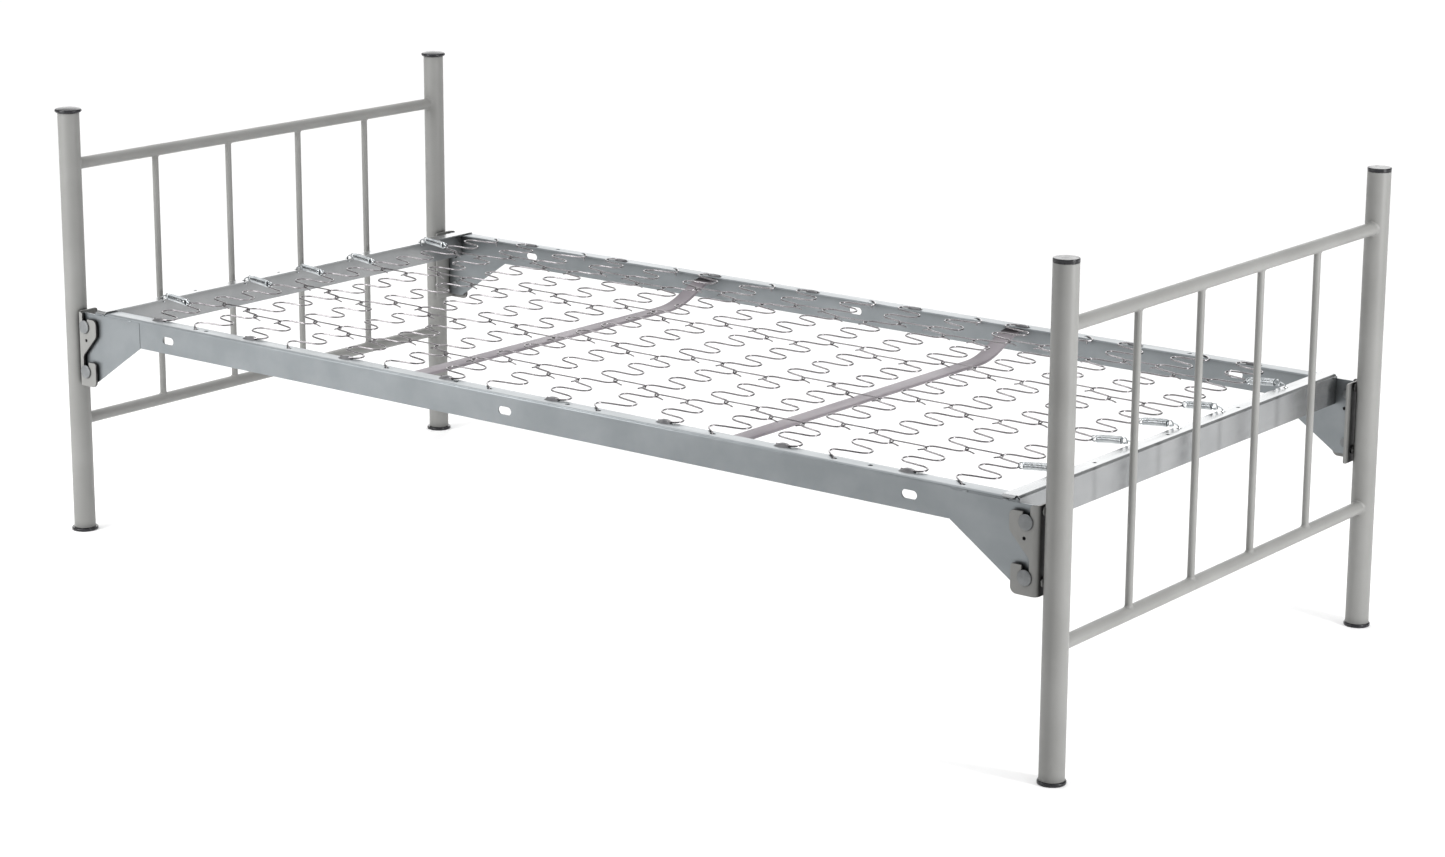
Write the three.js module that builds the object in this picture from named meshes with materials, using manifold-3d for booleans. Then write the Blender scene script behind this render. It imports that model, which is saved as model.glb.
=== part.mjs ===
// A knock-down single bed frame: two tubular bed ends, and a sprung steel deck that hooks between them.
// Millimetres. +Z is up, +X runs from the head end to the foot end, and -Y is the front side.
// The origin is on the floor, under the middle of the bed.
import * as THREE from "three";
import { mergeVertices } from "three/addons/utils/BufferGeometryUtils.js";
import Module from "manifold-3d";

const wasm = await Module();
wasm.setup();

// ---- Driving dimensions ----
const GAP = 0.3; // left between pieces that touch
const BED_SPAN = 2050; // along the bed, post axis to post axis
const END_SPAN = 932; // across the bed, post axis to post axis

const POST_RADIUS = 19.05; // 1 1/2 inch tube
const POST_WALL = 1.6;
const POST_TOP = 757;
const FLANGE_RADIUS = 23.4; // of the flanged caps and glides at the head end
const FOOT_GLIDE_RADIUS = 21.2;
const GLIDE_HEIGHT = 5;
const HEAD_CAP_HEIGHT = 9;
const FOOT_CAP_HEIGHT = 4;
const PLUG_LENGTH = 14; // how far a cap or a glide reaches into its post

const RAIL_RADIUS = 11.1; // 7/8 inch tube
const RAIL_WALL = 1.5;
const TOP_RAIL_Z = 664;
const LOW_RAIL_Z = 203;
const SPINDLES = 4;
const SPINDLE_PITCH = 179;
const SPINDLE_RADIUS = 5.5;

const DECK_TOP = 410;
const DECK_LENGTH = 1928;
const DECK_WIDTH = 952;
const SHEET = 2.5; // the deck's rolled angles
const ANGLE_DEPTH = 50;
const ANGLE_FLANGE = 28;
const ANGLE_BEND = 4;
const OVAL_X = 778; // accessory slots in a side rail: one in the middle and one near each end
const OVAL_DROP = 26.5;
const OVAL_LENGTH = 27;
const OVAL_RADIUS = 6.5;
const SPARE_HOLES_X = [118, 698]; // unused spring holes in a side rail's flange, either side of the middle
const SPARE_HOLE_INSET = 16;
const SPARE_HOLE_RADIUS = 4;

const BRACKET_SHEET = 4;
const BRACKET_NEAR = 22.5; // the bracket's post-side face, from the post axis
const BRACKET_FAR = 70.7;
const BRACKET_LOBE = 66.6;
const BRACKET_BOTTOM = 273.7;
const BRACKET_TOP = 407;
const BRACKET_LEG = 44.5; // width of the leg that stands across the bed
const HOOK_TOP = 395.7; // upper hook's tip
const HOOK_LOW = 369; // where the upper hook's outer edge turns in to the notch
const NOTCH_TOP = 330;
const LOBE_TOP = 317.8; // lower hook's tip
const CORNER = 9;
const WELD_TABS_Z = [294, 398];
const WELD_TAB = 5;

const STUD_FROM_POST = 42;
const STUDS_Z = [300.3, 381.3];
const STUD_RADIUS = 5.6;
const SLOT_RADIUS = 6.1;
const STUD_HEAD_RADIUS = 11.8;
const STUD_HEAD = 3;
const STUD_TAIL_RADIUS = 8;
const STUD_TAIL = 2;
const PIN_HOLE_RADIUS = 2.5; // for a locking pin, through bracket and gusset
const PIN_HOLE_FROM_POST = 45;
const PIN_HOLE_Z = 357;

const GUSSET_SHEET = 3;
const GUSSET_LENGTH = 148;
const GUSSET_FROM_POST = 28;
const GUSSET_TOP_DROP = 5;
const GUSSET_LOW_Z = 281;
const BRACKET_TO_GUSSET = 1.5;

const STRANDS = 16;
const STRAND_PITCH = 113;
const STRAND_BARS = 26;
const BAR_PITCH = 33.5;
const STRAND_HALF_WIDTH = 25.9; // centre line of the wire
const WIRE = 3.6;
const STRAND_HOOK = [-3, -459]; // where a strand drops through the front flange
const STRAND_CLIP = [-14, 453]; // where its other end lies under the back flange's tab
const STRAND_TURN = 437;

const COIL_ROWS = [-10, -4, 0, 4, 10]; // in bar pitches from the deck's middle
const COIL_RADIUS = 6.3;
const COIL_LENGTH = 43;
const COIL_FROM_STRAND = 3;
const COIL_HOOK = 24;
const COIL_HOOK_WIRE = 2.4;

const BRACE_X = 341;
const BRACE_WIDTH = 32;
const BRACE_SHEET = 3;
const BRACE_DROP = 46;
const BRACE_PROFILE = [ // half the profile: distance from the middle, and height above the dip
  [0, 0],
  [340, 0],
  [385, 4],
  [425, 16],
  [455, 31],
];

const ROUND = 20; // sides of a post
const SMALL_ROUND = 12;
const ARC_STEPS = 4;

const SIDES = [
  ["front", 1],
  ["back", -1],
];
const ENDS = [
  ["head", 1],
  ["foot", -1],
];

// ---- Materials ----
function material(color, roughness, metalness) {
  return new THREE.MeshStandardMaterial({ color, roughness, metalness });
}
const PAINT = material(0xa4a4a1, 0.45, 0.1);
const ZINC = material(0x9da4a8, 0.35, 0.85);
const SPRING_STEEL = material(0x8d8f93, 0.3, 0.9);
const BRACE_STEEL = material(0x8b868c, 0.35, 0.8);
const BLACK_PLASTIC = material(0x16161a, 0.2, 0.0);

// ---- Shapes ----
const AXIS_X = new THREE.Vector3(1, 0, 0);
const AXIS_Y = new THREE.Vector3(0, 1, 0);
const AXIS_Z = new THREE.Vector3(0, 0, 1);

function outline(points) {
  return new THREE.Shape(points.map(([a, b]) => new THREE.Vector2(a, b)));
}

function extrude(shape, depth) {
  return new THREE.ExtrudeGeometry(shape, { depth, bevelEnabled: false, curveSegments: ARC_STEPS });
}

// A shape drawn in (Y, Z), from x0 to x1.
function prismAlongX(shape, x0, x1) {
  const basis = new THREE.Matrix4().makeBasis(AXIS_Y, AXIS_Z, AXIS_X);
  return extrude(shape, x1 - x0).applyMatrix4(basis).translate(x0, 0, 0);
}

// A shape drawn in (X, Z), from y0 to y1.
function prismAlongY(shape, y0, y1) {
  const basis = new THREE.Matrix4().makeBasis(AXIS_X, AXIS_Z, AXIS_Y.clone().negate());
  return extrude(shape, y1 - y0).applyMatrix4(basis).translate(0, y1, 0);
}

// A shape drawn in (X, Y), from z0 to z1.
function prismAlongZ(shape, z0, z1) {
  return extrude(shape, z1 - z0).translate(0, 0, z0);
}

function block(x0, x1, y0, y1, z0, z1) {
  return new THREE.BoxGeometry(x1 - x0, y1 - y0, z1 - z0).translate((x0 + x1) / 2, (y0 + y1) / 2, (z0 + z1) / 2);
}

// A profile of (radius, height) points, turned round the Z axis.
function turned(profile, sides) {
  const points = profile.map(([radius, height]) => new THREE.Vector2(radius, height));
  return new THREE.LatheGeometry(points, sides).rotateX(Math.PI / 2);
}

function tube(radius, wall, low, high, sides) {
  const inner = radius - wall;
  return turned([[radius, low], [radius, high], [inner, high], [inner, low], [radius, low]], sides);
}

function rod(radius, low, high, sides) {
  return turned([[0, low], [radius, low], [radius, high], [0, high]], sides);
}

// A round-ended slot in a shape's own plane.
function slotShape(x, y, halfStraight, radius) {
  const shape = new THREE.Shape();
  shape.absarc(x + halfStraight, y, radius, -Math.PI / 2, Math.PI / 2);
  shape.absarc(x - halfStraight, y, radius, Math.PI / 2, (3 * Math.PI) / 2);
  return shape;
}

// ---- Joining and cutting ----
function solid(geometry) {
  const bare = new THREE.BufferGeometry();
  const source = geometry.index ? geometry.toNonIndexed() : geometry;
  bare.setAttribute("position", source.getAttribute("position"));
  const merged = mergeVertices(bare, 1e-4);
  return new wasm.Manifold(
    new wasm.Mesh({
      numProp: 3,
      vertProperties: merged.getAttribute("position").array,
      triVerts: Uint32Array.from(merged.index.array),
    }),
  );
}

function joined(geometries) {
  return geometries.map(solid).reduce((whole, next) => whole.add(next));
}

function cut(whole, geometries) {
  return geometries.map(solid).reduce((left, tool) => left.subtract(tool), whole);
}

function geometryOf(made) {
  const { vertProperties, triVerts } = made.getMesh();
  const geometry = new THREE.BufferGeometry();
  geometry.setAttribute("position", new THREE.BufferAttribute(vertProperties, 3));
  geometry.setIndex(new THREE.BufferAttribute(triVerts, 1));
  geometry.computeVertexNormals();
  return geometry;
}

function node(parent, name, geometry, look) {
  const mesh = new THREE.Mesh(geometry, look);
  mesh.name = name;
  parent.add(mesh);
  return mesh;
}

// ---- Bed ends ----
function postGeometry() {
  return tube(POST_RADIUS, POST_WALL, GLIDE_HEIGHT + GAP, POST_TOP, ROUND);
}

function plugRadius() {
  return POST_RADIUS - POST_WALL - GAP;
}

// A flanged glide, from the floor up into the post.
function glideGeometry(flange) {
  const rim = 1;
  return turned(
    [
      [0, 0],
      [flange - rim, 0],
      [flange, rim],
      [flange, GLIDE_HEIGHT - rim],
      [flange - rim, GLIDE_HEIGHT],
      [plugRadius(), GLIDE_HEIGHT],
      [plugRadius(), GLIDE_HEIGHT + PLUG_LENGTH],
      [0, GLIDE_HEIGHT + PLUG_LENGTH],
    ],
    ROUND,
  );
}

// A domed cap with a flange wider than the post.
function flangedCapGeometry() {
  const base = POST_TOP + GAP;
  return turned(
    [
      [0, base - PLUG_LENGTH],
      [plugRadius(), base - PLUG_LENGTH],
      [plugRadius(), base],
      [FLANGE_RADIUS - 1, base],
      [FLANGE_RADIUS, base + 1],
      [FLANGE_RADIUS, base + 3],
      [FLANGE_RADIUS * 0.8, base + 6],
      [0, base + HEAD_CAP_HEIGHT],
    ],
    ROUND,
  );
}

// A cap flush with the post's outside.
function flushCapGeometry() {
  const base = POST_TOP + GAP;
  return turned(
    [
      [0, base - PLUG_LENGTH],
      [plugRadius(), base - PLUG_LENGTH],
      [plugRadius(), base],
      [POST_RADIUS, base],
      [POST_RADIUS, base + FOOT_CAP_HEIGHT - 1],
      [POST_RADIUS - 2, base + FOOT_CAP_HEIGHT],
      [0, base + FOOT_CAP_HEIGHT],
    ],
    ROUND,
  );
}

// A crossrail of the bed end, saddled on to both posts, along Y at the height z.
function crossrailGeometry(z) {
  const half = END_SPAN / 2;
  const pipe = tube(RAIL_RADIUS, RAIL_WALL, -half, half, SMALL_ROUND).rotateX(Math.PI / 2);
  const posts = [-half, half].map((y) => rod(POST_RADIUS + GAP, -ANGLE_DEPTH, ANGLE_DEPTH, ROUND).translate(0, y, 0));
  const cutPipe = cut(solid(pipe), posts);
  const middle = cutPipe.decompose().sort((a, b) => b.volume() - a.volume())[0];
  return geometryOf(middle).translate(0, 0, z);
}

function spindleGeometry() {
  const clear = RAIL_RADIUS + GAP;
  return rod(SPINDLE_RADIUS, LOW_RAIL_Z + clear, TOP_RAIL_Z - clear, SMALL_ROUND);
}

// The hooked plate of a corner bracket, drawn in (distance from the post axis, height).
// Both slots open upwards: the upper one at the top edge, the lower one into the notch.
function hookPlateShape() {
  const slotNear = STUD_FROM_POST - SLOT_RADIUS;
  const slotFar = STUD_FROM_POST + SLOT_RADIUS;
  const [lowStud, highStud] = STUDS_Z;
  const shape = new THREE.Shape();
  shape.moveTo(BRACKET_NEAR, BRACKET_BOTTOM);
  shape.lineTo(BRACKET_LOBE - CORNER, BRACKET_BOTTOM);
  shape.absarc(BRACKET_LOBE - CORNER, BRACKET_BOTTOM + CORNER, CORNER, -Math.PI / 2, 0);
  shape.lineTo(BRACKET_LOBE, LOBE_TOP);
  shape.lineTo(slotFar, LOBE_TOP);
  shape.lineTo(slotFar, lowStud);
  shape.absarc(STUD_FROM_POST, lowStud, SLOT_RADIUS, 0, -Math.PI, true);
  shape.lineTo(slotNear, NOTCH_TOP);
  shape.lineTo(BRACKET_FAR - 2, HOOK_LOW - 4);
  shape.lineTo(BRACKET_FAR, HOOK_LOW);
  shape.lineTo(BRACKET_FAR, HOOK_TOP - CORNER / 2);
  shape.lineTo(BRACKET_FAR - CORNER / 2, HOOK_TOP);
  shape.lineTo(slotFar, HOOK_TOP);
  shape.lineTo(slotFar, highStud);
  shape.absarc(STUD_FROM_POST, highStud, SLOT_RADIUS, 0, -Math.PI, true);
  shape.lineTo(slotNear, BRACKET_TOP);
  shape.lineTo(BRACKET_NEAR, BRACKET_TOP);
  shape.holes.push(pinHolePath(PIN_HOLE_FROM_POST));
  return shape;
}

function pinHolePath(x) {
  const path = new THREE.Path();
  path.absarc(x, PIN_HOLE_Z, PIN_HOLE_RADIUS, 0, 2 * Math.PI);
  return path;
}

// The corner bracket of the head end's front post, seen from the post axis: X towards the deck, -Y outwards.
function bracketGeometry() {
  const outer = -(bracketOuterY() - END_SPAN / 2);
  const inner = outer + BRACKET_SHEET;
  const plate = prismAlongY(hookPlateShape(), outer, inner);
  const leg = block(
    BRACKET_NEAR,
    BRACKET_NEAR + BRACKET_SHEET,
    outer,
    outer + BRACKET_LEG,
    BRACKET_BOTTOM,
    BRACKET_TOP,
  );
  const tabs = WELD_TABS_Z.map((z) =>
    block(POST_RADIUS + GAP, BRACKET_NEAR + 1, -WELD_TAB, WELD_TAB, z - WELD_TAB, z + WELD_TAB),
  );
  return geometryOf(joined([plate, leg, ...tabs]));
}

function bracketOuterY() {
  return gussetOuterY() + BRACKET_TO_GUSSET + BRACKET_SHEET;
}

function gussetOuterY() {
  return DECK_WIDTH / 2 + GUSSET_SHEET;
}

function buildCorner(parent, end, endSign, side, sideSign) {
  const corner = new THREE.Group();
  corner.position.set((-endSign * BED_SPAN) / 2, (-sideSign * END_SPAN) / 2, 0);
  corner.scale.set(endSign, sideSign, 1);
  const atHead = end === "head";
  node(corner, `${end}_post_${side}`, postGeometry(), PAINT);
  node(corner, `${end}_bracket_${side}`, bracketGeometry(), PAINT);
  node(corner, `${end}_cap_${side}`, atHead ? flangedCapGeometry() : flushCapGeometry(), BLACK_PLASTIC);
  node(corner, `${end}_glide_${side}`, glideGeometry(atHead ? FLANGE_RADIUS : FOOT_GLIDE_RADIUS), BLACK_PLASTIC);
  parent.add(corner);
}

function buildEnd(end, endSign) {
  const group = new THREE.Group();
  for (const [side, sideSign] of SIDES) buildCorner(group, end, endSign, side, sideSign);
  const x = (-endSign * BED_SPAN) / 2;
  node(group, `${end}_top_crossrail`, crossrailGeometry(TOP_RAIL_Z), PAINT).position.x = x;
  node(group, `${end}_low_crossrail`, crossrailGeometry(LOW_RAIL_Z), PAINT).position.x = x;
  for (let i = 0; i < SPINDLES; i++) {
    const y = (i - (SPINDLES - 1) / 2) * SPINDLE_PITCH;
    node(group, `${end}_spindle_${i + 1}`, spindleGeometry(), PAINT).position.set(x, y, 0);
  }
  return group;
}

// ---- Deck frame ----
// An angle's section: the upright leg's outer face is at 0 and the flange runs to +ANGLE_FLANGE.
function angleShape(top, outerEdge, inward) {
  const at = (distance) => outerEdge + inward * distance;
  return outline([
    [at(0), top - ANGLE_DEPTH],
    [at(0), top - ANGLE_BEND],
    [at(ANGLE_BEND * 0.3), top - ANGLE_BEND * 0.3],
    [at(ANGLE_BEND), top],
    [at(ANGLE_FLANGE), top],
    [at(ANGLE_FLANGE), top - SHEET],
    [at(SHEET), top - SHEET],
    [at(SHEET), top - ANGLE_DEPTH],
  ]);
}

// One end's gusset plate, with the two shouldered studs riveted into it; endSign is 1 at the head end.
function gussetPieces(endSign) {
  const along = (fromPost) => endSign * (fromPost - BED_SPAN / 2);
  const railEnd = BED_SPAN / 2 - DECK_LENGTH / 2;
  const outer = -gussetOuterY();
  const inner = outer + GUSSET_SHEET + GAP;
  const low = DECK_TOP - ANGLE_DEPTH;
  const plate = outline([
    [along(GUSSET_FROM_POST), GUSSET_LOW_Z],
    [along(railEnd), GUSSET_LOW_Z],
    [along(GUSSET_FROM_POST + GUSSET_LENGTH), low],
    [along(GUSSET_FROM_POST + GUSSET_LENGTH), DECK_TOP - GUSSET_TOP_DROP],
    [along(GUSSET_FROM_POST), DECK_TOP - GUSSET_TOP_DROP],
  ]);
  plate.holes.push(pinHolePath(along(PIN_HOLE_FROM_POST)));
  return [prismAlongY(plate, outer, inner), ...STUDS_Z.map((z) => studGeometry(along(STUD_FROM_POST), z))];
}

// A stud along Y: head outside the bracket, shank through its slot, tail inside the gusset.
function studGeometry(x, z) {
  const headInner = bracketOuterY() + GAP * 1.5;
  const tailOuter = DECK_WIDTH / 2;
  const profile = [
    [0, tailOuter - STUD_TAIL],
    [STUD_TAIL_RADIUS, tailOuter - STUD_TAIL],
    [STUD_TAIL_RADIUS, tailOuter],
    [STUD_RADIUS, tailOuter],
    [STUD_RADIUS, headInner],
    [STUD_HEAD_RADIUS, headInner],
    [STUD_HEAD_RADIUS - 1, headInner + STUD_HEAD],
    [0, headInner + STUD_HEAD],
  ];
  return turned(profile, SMALL_ROUND).rotateX(Math.PI / 2).translate(x, 0, z);
}

function sideRailGeometry() {
  const outer = -DECK_WIDTH / 2;
  const half = DECK_LENGTH / 2;
  const angle = prismAlongX(angleShape(DECK_TOP, outer, 1), -half, half);
  const straight = OVAL_LENGTH / 2 - OVAL_RADIUS;
  const ovals = [-OVAL_X, 0, OVAL_X].map((x) =>
    prismAlongY(slotShape(x, DECK_TOP - OVAL_DROP, straight, OVAL_RADIUS), outer - 1, outer + SHEET + 1),
  );
  const holes = SPARE_HOLES_X.flatMap((x) => [-x, x]).map((x) =>
    prismAlongZ(slotShape(x, outer + SPARE_HOLE_INSET, SPARE_HOLE_RADIUS, SPARE_HOLE_RADIUS), DECK_TOP - 5, DECK_TOP + 1),
  );
  const notch = half - SHEET - GAP; // the flange stops short of the end angle's upright leg
  const innerFace = outer + SHEET;
  const notches = [[-half - 1, -notch], [notch, half + 1]].map(([x0, x1]) =>
    block(x0, x1, innerFace, outer + ANGLE_FLANGE + 1, DECK_TOP - SHEET - 1, DECK_TOP + 1),
  );
  const rail = cut(solid(angle), [...ovals, ...holes, ...notches]);
  return geometryOf(rail.add(joined([...gussetPieces(1), ...gussetPieces(-1)])));
}

// An end angle, whose flange lies on the side rails' flanges; its upright leg fits between the side rails.
function endRailGeometry() {
  const top = DECK_TOP + SHEET + GAP;
  const half = DECK_WIDTH / 2 - SHEET - GAP;
  const angle = angleShape(top, -DECK_LENGTH / 2, 1);
  return prismAlongY(angle, -half, half);
}

// A cross brace: a strap that dips under the springs and turns up to meet both side rails.
function braceGeometry() {
  const reach = DECK_WIDTH / 2 - SHEET - GAP;
  const dip = DECK_TOP - BRACE_DROP;
  const rightTop = BRACE_PROFILE.map(([y, rise]) => [y, dip + rise]);
  const last = rightTop[rightTop.length - 1];
  rightTop.push([reach, last[1] + 4]);
  const leftTop = rightTop.slice(1).reverse().map(([y, z]) => [-y, z]);
  const top = [...leftTop, ...rightTop];
  const bottom = top.map(([y, z]) => [y, z - BRACE_SHEET]).reverse();
  return prismAlongX(outline([...top, ...bottom]), -BRACE_WIDTH / 2, BRACE_WIDTH / 2);
}

// ---- Springs ----
// The centre line of a sinuous strand, from the hook at the front rail to the clip at the back rail.
function strandPath() {
  const path = [STRAND_HOOK, [-STRAND_HALF_WIDTH, -STRAND_TURN]];
  for (let bar = 0; bar < STRAND_BARS; bar++) {
    const y = (bar - (STRAND_BARS - 1) / 2) * BAR_PITCH;
    const from = bar % 2 ? STRAND_HALF_WIDTH : -STRAND_HALF_WIDTH;
    path.push([from, y], [-from, y]);
  }
  path.push([-STRAND_HALF_WIDTH, STRAND_TURN], STRAND_CLIP);
  return path;
}

// One edge of a wire that follows the path, the given distance to its left.
function offsetPath(path, distance) {
  const points = path.map(([x, y]) => new THREE.Vector2(x, y));
  const normals = points.slice(1).map((point, i) => {
    const step = point.clone().sub(points[i]).normalize();
    return new THREE.Vector2(-step.y, step.x);
  });
  return points.map((point, i) => {
    const before = normals[Math.max(i - 1, 0)];
    const after = normals[Math.min(i, normals.length - 1)];
    const mitre = before.clone().add(after);
    mitre.multiplyScalar((2 * distance) / mitre.lengthSq());
    return point.clone().add(mitre);
  });
}

function strandGeometry() {
  const path = strandPath();
  const left = offsetPath(path, WIRE / 2);
  const right = offsetPath(path, -WIRE / 2);
  const low = DECK_TOP + GAP;
  return prismAlongZ(new THREE.Shape([...left, ...right.reverse()]), low, low + WIRE);
}

// A coil spring's outer shape along X from the end strand, with the hook that reaches over the end flange.
function coilGeometry() {
  const start = (STRAND_PITCH * (STRANDS - 1)) / 2 + STRAND_HALF_WIDTH + WIRE / 2 + COIL_FROM_STRAND;
  const end = start + COIL_LENGTH;
  const hookLow = DECK_TOP + SHEET + 2 * GAP;
  const centre = hookLow + COIL_HOOK_WIRE / 2;
  const coil = rod(COIL_RADIUS, start, end, SMALL_ROUND).rotateY(Math.PI / 2).translate(0, 0, centre);
  const half = COIL_HOOK_WIRE / 2;
  const hook = block(end - 1, end + COIL_HOOK, -half, half, centre - half, centre + half);
  const eye = block(start - COIL_FROM_STRAND + GAP, start + 1, -half, half, centre - half, centre + half);
  return geometryOf(joined([coil, hook, eye]));
}

function buildDeck() {
  const group = new THREE.Group();
  for (const [side, sign] of SIDES) node(group, `side_rail_${side}`, sideRailGeometry(), ZINC).scale.y = sign;
  for (const [end, sign] of ENDS) node(group, `end_rail_${end}`, endRailGeometry(), ZINC).scale.x = sign;
  for (const [end, sign] of ENDS) {
    node(group, `cross_brace_${end}`, braceGeometry(), BRACE_STEEL).position.x = -sign * BRACE_X;
  }
  for (let i = 0; i < STRANDS; i++) {
    const number = String(i + 1).padStart(2, "0");
    const strand = node(group, `spring_strand_${number}`, strandGeometry(), SPRING_STEEL);
    strand.position.x = (i - (STRANDS - 1) / 2) * STRAND_PITCH;
    strand.rotation.z = i % 2 ? 0 : Math.PI;
  }
  for (const [end, sign] of ENDS) {
    COIL_ROWS.forEach((row, i) => {
      const coil = node(group, `coil_spring_${end}_${i + 1}`, coilGeometry(), SPRING_STEEL);
      coil.position.y = row * BAR_PITCH;
      coil.scale.x = -sign;
    });
  }
  return group;
}

// ---- The bed ----
const bed = new THREE.Group();
bed.add(buildEnd("head", 1), buildEnd("foot", -1), buildDeck());
// The head end's flanges are wider than the foot end's glides, so the middle of the whole is off the deck's.
bed.children.forEach((group) => {
  group.position.x = (FLANGE_RADIUS - FOOT_GLIDE_RADIUS) / 2;
});

export default bed;
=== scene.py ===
"""The looks of a knock-down single bed frame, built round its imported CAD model.

Shapes are drawn in millimetres and become metres in piece(). +Z is up, +X runs from the head end to
the foot end, and -Y is the front side. A piece rides on the same body as the CAD nodes it replaces.
Small pieces that have no node of their own replace none.
"""

import math
import random

import bmesh
import bpy
from mathutils import Matrix, Vector
from mathutils.geometry import delaunay_2d_cdt


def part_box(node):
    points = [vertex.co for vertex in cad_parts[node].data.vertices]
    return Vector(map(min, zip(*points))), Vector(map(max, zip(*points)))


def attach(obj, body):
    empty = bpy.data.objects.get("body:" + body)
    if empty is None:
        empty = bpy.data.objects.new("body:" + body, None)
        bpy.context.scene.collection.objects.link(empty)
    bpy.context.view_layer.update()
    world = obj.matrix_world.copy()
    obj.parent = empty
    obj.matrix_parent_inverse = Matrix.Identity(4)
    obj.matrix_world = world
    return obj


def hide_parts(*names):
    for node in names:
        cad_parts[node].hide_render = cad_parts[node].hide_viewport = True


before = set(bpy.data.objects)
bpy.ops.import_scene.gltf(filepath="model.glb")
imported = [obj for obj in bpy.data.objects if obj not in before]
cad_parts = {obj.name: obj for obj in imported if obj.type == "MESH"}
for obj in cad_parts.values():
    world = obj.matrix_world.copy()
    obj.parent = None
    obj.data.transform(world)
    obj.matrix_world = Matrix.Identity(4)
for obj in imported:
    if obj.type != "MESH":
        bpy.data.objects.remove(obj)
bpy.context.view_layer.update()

MM = 0.001  # metres in a millimetre
DRAW = random.Random(7)  # small differences between springs of one kind
SMOOTH_ANGLE = math.radians(38)


def cad(node):
    """A CAD node's lowest and highest corners, in millimetres."""
    low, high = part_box(node)
    return low / MM, high / MM


# ---- Places taken from the CAD model ----
POST_LOW, POST_HIGH = cad("head_post_front")
FOOT_LOW, FOOT_HIGH = cad("foot_post_back")
POST_RADIUS = (POST_HIGH.x - POST_LOW.x) / 2
POST_BASE, POST_TOP = POST_LOW.z, POST_HIGH.z
HEAD_X = (POST_LOW.x + POST_HIGH.x) / 2
FOOT_X = (FOOT_LOW.x + FOOT_HIGH.x) / 2
POST_Y = (FOOT_LOW.y + FOOT_HIGH.y) / 2
MIDDLE_X = (HEAD_X + FOOT_X) / 2
END_X = {"head": HEAD_X, "foot": FOOT_X}
RAIL_LOW, RAIL_HIGH = cad("head_top_crossrail")
RAIL_RADIUS = (RAIL_HIGH.z - RAIL_LOW.z) / 2
SPINDLE_LOW, SPINDLE_HIGH = cad("head_spindle_1")
SPINDLE_RADIUS = (SPINDLE_HIGH.x - SPINDLE_LOW.x) / 2
BAR_RADIUS = RAIL_RADIUS - 0.7  # the crossrail tubes are drawn slightly slimmer than their solids
ROD_RADIUS = SPINDLE_RADIUS + 0.2  # and the spindles slightly thicker than theirs
SIDES = {"front": -1, "back": 1}
ENDS = {"head": -1, "foot": 1}
FOOT_CAP_SKIRT = 2.2  # how far a foot cap comes down over its post

# ---- Sizes of the deck's sheet metal ----
DECK_TOP = 410
SIDE_FACE = 476  # outer face of a side rail, from the middle of the bed
END_FACE = 964  # outer face of an end rail, from the middle of the bed
SHEET = 2.5
ANGLE_DEPTH = 50
ANGLE_FLANGE = 28
BEND = 4.2  # outer radius of the rolled corner
LAP = SHEET + 0.3  # the end rails' flanges lie on the side rails' flanges
OVAL_X = (-778, 0, 778)
OVAL_DROP = 26.5  # an oval slot's middle, below the top of the deck
OVAL_STRAIGHT = 7  # half of its straight part
OVAL_RADIUS = 6.5
SPARE_X = (-698, -118, 118, 698)
SPARE_INSET = 16  # a spare hole's middle, from the side rail's face
SPARE_RADIUS = 4
END_SPARE_Y = (-251, -42, 173)  # spare holes in an end rail
EDGE = 0.45  # roundness of a cut edge

# ---- Springs ----
STRANDS = 16
STRAND_PITCH = 113
BARS = 26
BAR_PITCH = 33.5
WIRE = 1.45  # radius
WAVE = 25.9  # reach of a strand's turns from its own middle line, at the centre of the wire
WIRE_Z = DECK_TOP + WIRE + 0.5
HOOK = Vector((12, -461))  # where a strand drops through the front flange, from its middle
CLIP = Vector((-25, 454))  # where its other end lies under the clip on the back flange
LINK = 1.2  # radius of a link's wire
COIL_ROWS = (-10, -4, 0, 4, 10)  # places of the end coils across the bed, in bars from its middle
COIL_Z = WIRE_Z + 1.2  # height of a coil's axis at the strand
COIL_RISE = 6  # how much higher a coil's outer end lies, above the end rail's flange
HOLE_INSET = 9  # an end rail's hook holes, from the edge of its flange
LAST_STRAND = STRAND_PITCH * (STRANDS - 1) / 2  # from the middle of the bed
HOOK_HOLE = END_FACE - ANGLE_FLANGE + HOLE_INSET - LAST_STRAND  # from the last strand


# ---- Meshes ----
class Shape:
    """Vertices in millimetres, and the faces that join them."""

    def __init__(self, verts=(), faces=()):
        self.verts = [Vector(v) for v in verts]
        self.faces = [tuple(f) for f in faces]

    def add(self, *others):
        for other in others:
            start = len(self.verts)
            self.verts += [v.copy() for v in other.verts]
            self.faces += [tuple(i + start for i in face) for face in other.faces]
        return self

    def placed(self, place):
        """The same shape with each point put through a matrix or a function."""
        put = (lambda v: place @ v) if isinstance(place, Matrix) else place
        return Shape([put(v) for v in self.verts], self.faces)


def moved(x=0.0, y=0.0, z=0.0):
    return Matrix.Translation((x, y, z))


def scaled(x, y, z):
    return Matrix.Diagonal((x, y, z, 1))


def turned(degrees, axis):
    return Matrix.Rotation(math.radians(degrees), 4, axis)


def clamp(value):
    """The value, kept between 0 and 1."""
    return min(max(value, 0), 1)


def ease(share):
    """A share between 0 and 1 with a smooth start and end."""
    return share * share * (3 - 2 * share)


def arc(centre, radius, start, end, steps):
    """Points on an arc, from one angle to another in degrees."""
    angles = [math.radians(start + (end - start) * i / steps) for i in range(steps + 1)]
    return [(centre[0] + radius * math.cos(a), centre[1] + radius * math.sin(a)) for a in angles]


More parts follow.
